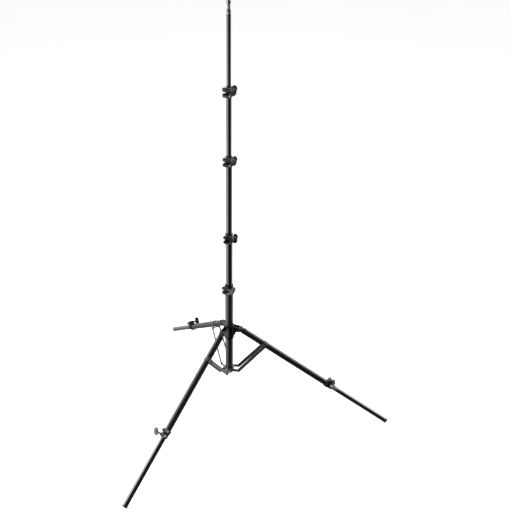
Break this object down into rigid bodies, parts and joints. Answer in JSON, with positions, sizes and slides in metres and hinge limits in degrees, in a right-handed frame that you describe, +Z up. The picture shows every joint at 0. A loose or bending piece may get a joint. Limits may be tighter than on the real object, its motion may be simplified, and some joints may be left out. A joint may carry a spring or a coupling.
{
  "type": "telescopic lighting stand",
  "caption": "Black folding lighting stand: telescoping column with wing-knob clamp collars, strutted telescopic legs and a 5/8 inch stud on top.",
  "frame": {"origin": "on the floor, under the column axis", "axes": "+Z up the column to the stud; +X outward along leg b; legs c and a follow at 120 and 240 degrees"},
  "size_m": [1.209, 1.3922, 1.9738],
  "materials": {
    "anodised_tube": "glossy black anodised",
    "leg_tube": "glossy black anodised",
    "cast_black": "black painted casting, satin",
    "strut_steel": "black satin plate",
    "knob_black": "black painted die casting, satin",
    "fastener": "black zinc plated",
    "guide_plastic": "matt black moulded plastic",
    "foot_rubber": "black rubber",
    "stud_steel": "turned and nickel plated steel",
    "ferrule_metal": "turned, bare"
  },
  "bodies": {
    "base": {"base_tube": "anodised_tube", "base_end_plug": "guide_plastic", "lower_spider": "cast_black", "spider_rivets": "fastener", "hub_stop_ring": "cast_black", "section_1_collar": "cast_black", "section_1_collar_bolts": "fastener"},
    "section_1_knob": {"section_1_wing_knob": "knob_black"},
    "hub": {"leg_hub": "cast_black", "hub_bush": "guide_plastic", "leg_pivot_pins": "fastener"},
    "section_2": {"section_2_tube": "anodised_tube", "section_2_guide_bush": "guide_plastic", "section_2_collar": "cast_black", "section_2_collar_bolts": "fastener"},
    "section_2_knob": {"section_2_wing_knob": "knob_black"},
    "section_3": {"section_3_tube": "anodised_tube", "section_3_guide_bush": "guide_plastic", "section_3_collar": "cast_black", "section_3_collar_bolts": "fastener"},
    "section_3_knob": {"section_3_wing_knob": "knob_black"},
    "section_4": {"section_4_tube": "anodised_tube", "section_4_guide_bush": "guide_plastic", "section_4_collar": "cast_black", "section_4_collar_bolts": "fastener"},
    "section_4_knob": {"section_4_wing_knob": "knob_black"},
    "section_5": {"section_5_tube": "anodised_tube", "section_5_guide_bush": "guide_plastic", "stud_ferrule": "ferrule_metal", "mounting_stud": "stud_steel"},
    "leg_a": {"leg_a_head": "cast_black", "leg_a_upper_tube": "leg_tube", "leg_a_saddle": "strut_steel", "leg_a_collar": "cast_black", "leg_a_bolts": "fastener"},
    "leg_a_knob": {"leg_a_wing_knob": "knob_black"},
    "leg_a_foot": {"leg_a_lower_tube": "leg_tube", "leg_a_guide_bush": "guide_plastic", "leg_a_foot_cap": "foot_rubber"},
    "leg_a_strut_pair": {"leg_a_struts": "strut_steel"},
    "leg_b": {"leg_b_head": "cast_black", "leg_b_upper_tube": "leg_tube", "leg_b_saddle": "strut_steel", "leg_b_collar": "cast_black", "leg_b_bolts": "fastener"},
    "leg_b_knob": {"leg_b_wing_knob": "knob_black"},
    "leg_b_foot": {"leg_b_lower_tube": "leg_tube", "leg_b_guide_bush": "guide_plastic", "leg_b_foot_cap": "foot_rubber"},
    "leg_b_strut_pair": {"leg_b_struts": "strut_steel"},
    "leg_c": {"leg_c_head": "cast_black", "leg_c_upper_tube": "leg_tube", "leg_c_saddle": "strut_steel", "leg_c_collar": "cast_black", "leg_c_bolts": "fastener"},
    "leg_c_knob": {"leg_c_wing_knob": "knob_black"},
    "leg_c_foot": {"leg_c_lower_tube": "leg_tube", "leg_c_guide_bush": "guide_plastic", "leg_c_foot_cap": "foot_rubber"},
    "leg_c_strut_pair": {"leg_c_struts": "strut_steel"}
  },
  "joints": [
    {"name": "hub_slide", "type": "slide", "parent": "base", "child": "hub", "axis": [0, 0, 1], "range_m": [0, 0.08619]},
    {"name": "section_2_slide", "type": "slide", "parent": "base", "child": "section_2", "axis": [0, 0, 1], "range_m": [-0.217, 0.09]},
    {"name": "section_3_slide", "type": "slide", "parent": "section_2", "child": "section_3", "axis": [0, 0, 1], "range_m": [-0.307, 0]},
    {"name": "section_4_slide", "type": "slide", "parent": "section_3", "child": "section_4", "axis": [0, 0, 1], "range_m": [-0.237, 0.07]},
    {"name": "section_5_slide", "type": "slide", "parent": "section_4", "child": "section_5", "axis": [0, 0, 1], "range_m": [-0.25, 0.071]},
    {"name": "section_1_knob_turn", "type": "hinge", "parent": "base", "child": "section_1_knob", "pos_m": [-0.01206, -0.02472, 0.75581], "axis": [0.8988, -0.4384, 0], "range_deg": [-180, 180]},
    {"name": "section_2_knob_turn", "type": "hinge", "parent": "section_2", "child": "section_2_knob", "pos_m": [-0.00261, -0.02486, 1.01681], "axis": [0.9945, -0.1045, 0], "range_deg": [-180, 180]},
    {"name": "section_3_knob_turn", "type": "hinge", "parent": "section_3", "child": "section_3_knob", "pos_m": [-0.00468, -0.02201, 1.36781], "axis": [0.9781, -0.2079, 0], "range_deg": [-180, 180]},
    {"name": "section_4_knob_turn", "type": "hinge", "parent": "section_4", "child": "section_4_knob", "pos_m": [-0.00416, -0.01956, 1.64881], "axis": [0.9781, -0.2079, 0], "range_deg": [-180, 180]},
    {"name": "leg_a_fold", "type": "hinge", "parent": "hub", "child": "leg_a", "pos_m": [-0.027, -0.04677, 0.52281], "axis": [0.866, -0.5, 0], "range_deg": [0, 55.25]},
    {"name": "leg_a_extend", "type": "slide", "parent": "leg_a", "child": "leg_a_foot", "axis": [-0.4106, -0.7111, -0.5707], "range_m": [-0.32, 0]},
    {"name": "leg_a_knob_turn", "type": "hinge", "parent": "leg_a", "child": "leg_a_knob", "pos_m": [-0.2572, -0.44549, 0.23205], "axis": [-0.866, 0.5, 0], "range_deg": [-180, 180]},
    {"name": "leg_a_strut_fold", "type": "hinge", "parent": "base", "child": "leg_a_strut_pair", "pos_m": [-0.023, -0.03984, 0.28681], "axis": [-0.866, 0.5, 0], "range_deg": [0, 42.56]},
    {"name": "leg_b_fold", "type": "hinge", "parent": "hub", "child": "leg_b", "pos_m": [0.054, 0, 0.52281], "axis": [0, 1, 0], "range_deg": [0, 55.25]},
    {"name": "leg_b_extend", "type": "slide", "parent": "leg_b", "child": "leg_b_foot", "axis": [0.8211, 0, -0.5707], "range_m": [-0.32, 0]},
    {"name": "leg_b_knob_turn", "type": "hinge", "parent": "leg_b", "child": "leg_b_knob", "pos_m": [0.5144, 0, 0.23205], "axis": [0, -1, 0], "range_deg": [-180, 180]},
    {"name": "leg_b_strut_fold", "type": "hinge", "parent": "base", "child": "leg_b_strut_pair", "pos_m": [0.046, 0, 0.28681], "axis": [0, -1, 0], "range_deg": [0, 42.56]},
    {"name": "leg_c_fold", "type": "hinge", "parent": "hub", "child": "leg_c", "pos_m": [-0.027, 0.04677, 0.52281], "axis": [-0.866, -0.5, 0], "range_deg": [0, 55.25]},
    {"name": "leg_c_extend", "type": "slide", "parent": "leg_c", "child": "leg_c_foot", "axis": [-0.4106, 0.7111, -0.5707], "range_m": [-0.32, 0]},
    {"name": "leg_c_knob_turn", "type": "hinge", "parent": "leg_c", "child": "leg_c_knob", "pos_m": [-0.2572, 0.44549, 0.23205], "axis": [0.866, 0.5, 0], "range_deg": [-180, 180]},
    {"name": "leg_c_strut_fold", "type": "hinge", "parent": "base", "child": "leg_c_strut_pair", "pos_m": [-0.023, 0.03984, 0.28681], "axis": [0.866, 0.5, 0], "range_deg": [0, 42.56]}
  ],
  "couplings": [
    {"joint": "leg_a_fold", "follows": "hub_slide", "rad_per_m": 11.178},
    {"joint": "leg_a_strut_fold", "follows": "hub_slide", "rad_per_m": 8.609},
    {"joint": "leg_b_fold", "follows": "hub_slide", "rad_per_m": 11.178},
    {"joint": "leg_b_strut_fold", "follows": "hub_slide", "rad_per_m": 8.609},
    {"joint": "leg_c_fold", "follows": "hub_slide", "rad_per_m": 11.178},
    {"joint": "leg_c_strut_fold", "follows": "hub_slide", "rad_per_m": 8.609}
  ]
}
